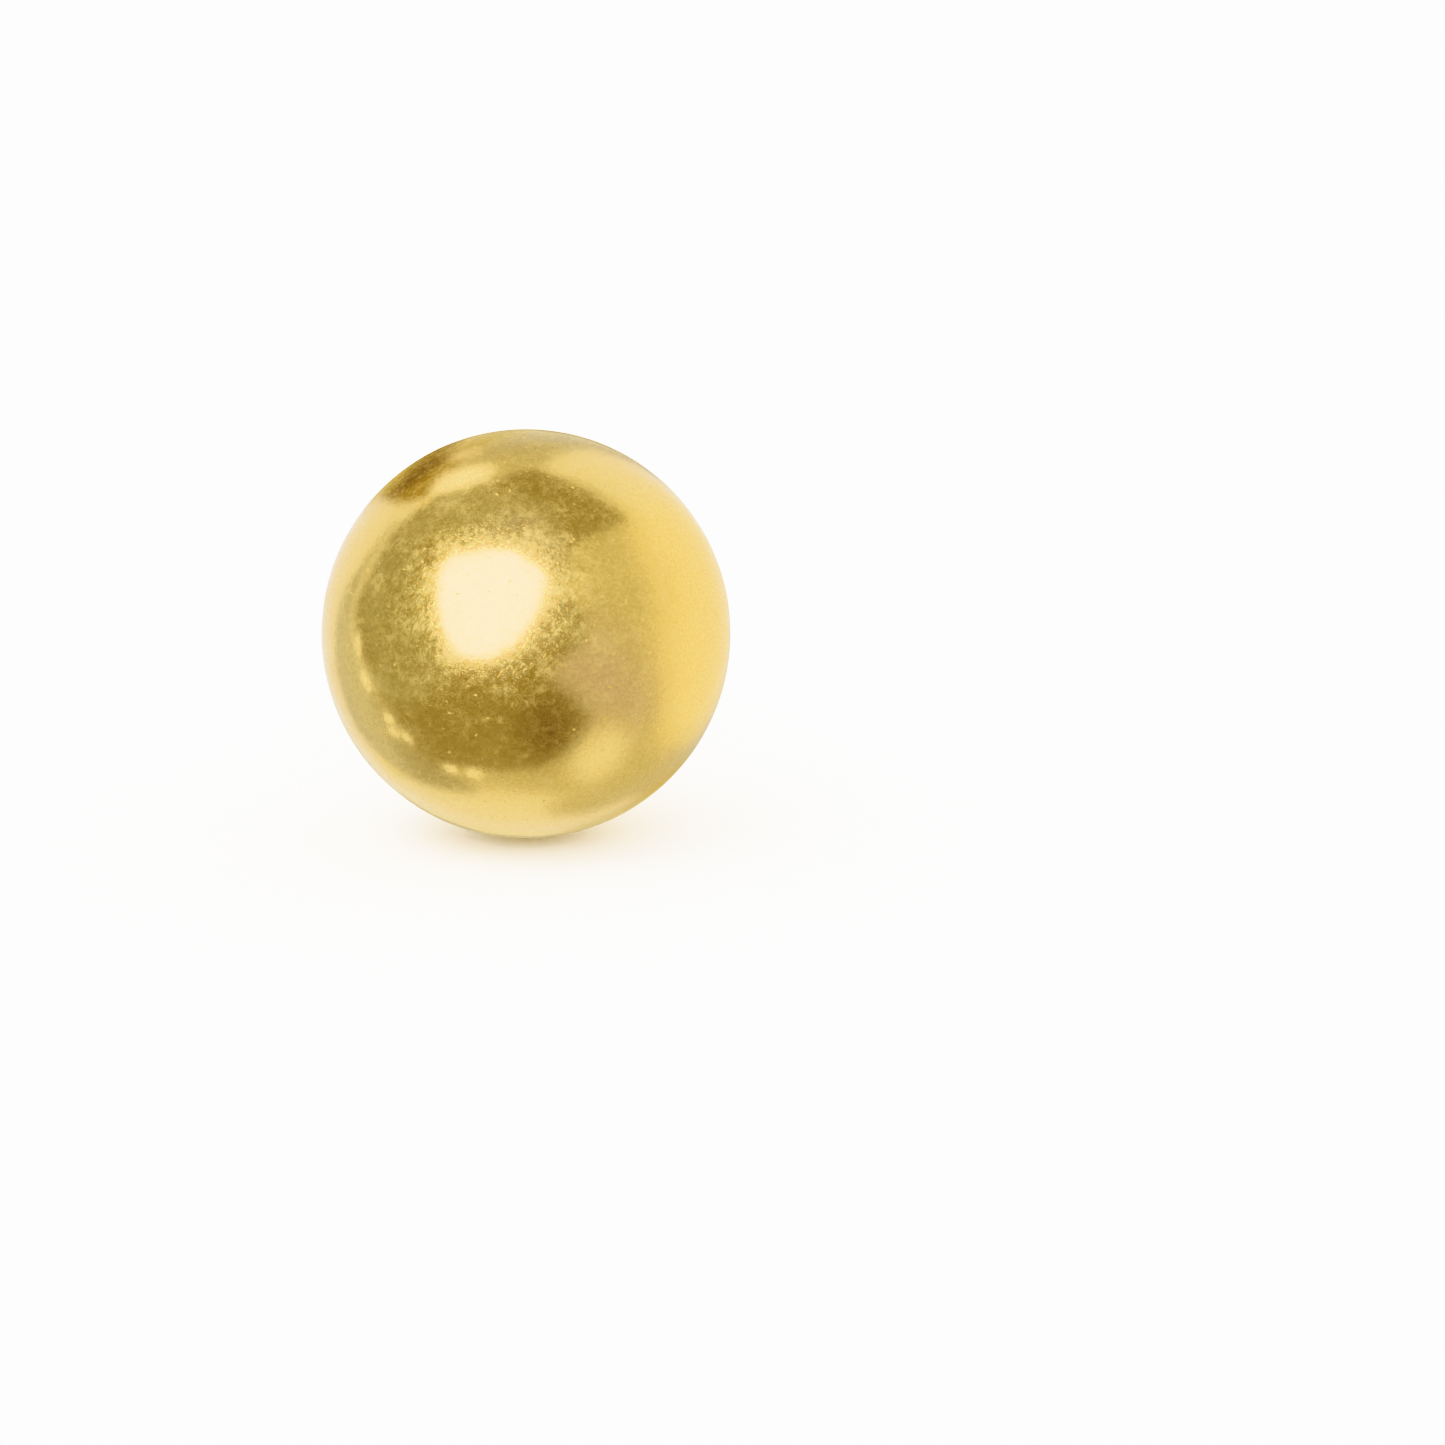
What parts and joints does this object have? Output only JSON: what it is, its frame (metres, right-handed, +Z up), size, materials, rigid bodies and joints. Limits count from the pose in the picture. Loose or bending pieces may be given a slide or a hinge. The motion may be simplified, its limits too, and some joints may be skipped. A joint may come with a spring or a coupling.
{
  "type": "stud earring",
  "caption": "Stud earring: a plain polished gold ball on a straight post, with a butterfly friction back pushed on to the post.",
  "frame": {"origin": "middle of the bounding box's base, on the surface that the stud lies on", "axes": "+Z up; +Y from the ball towards the post's tip, which slopes down by 14 degrees; +X level, across the butterfly back"},
  "size_m": [0.01, 0.0196, 0.01],
  "materials": {
    "polished_gold": "polished yellow gold, with fine polishing pits and wear",
    "finding_gold": "bright yellow gold sheet, as rolled"
  },
  "bodies": {
    "root": {"ball_and_post": "polished_gold", "butterfly_back": "finding_gold"}
  },
  "joints": []
}
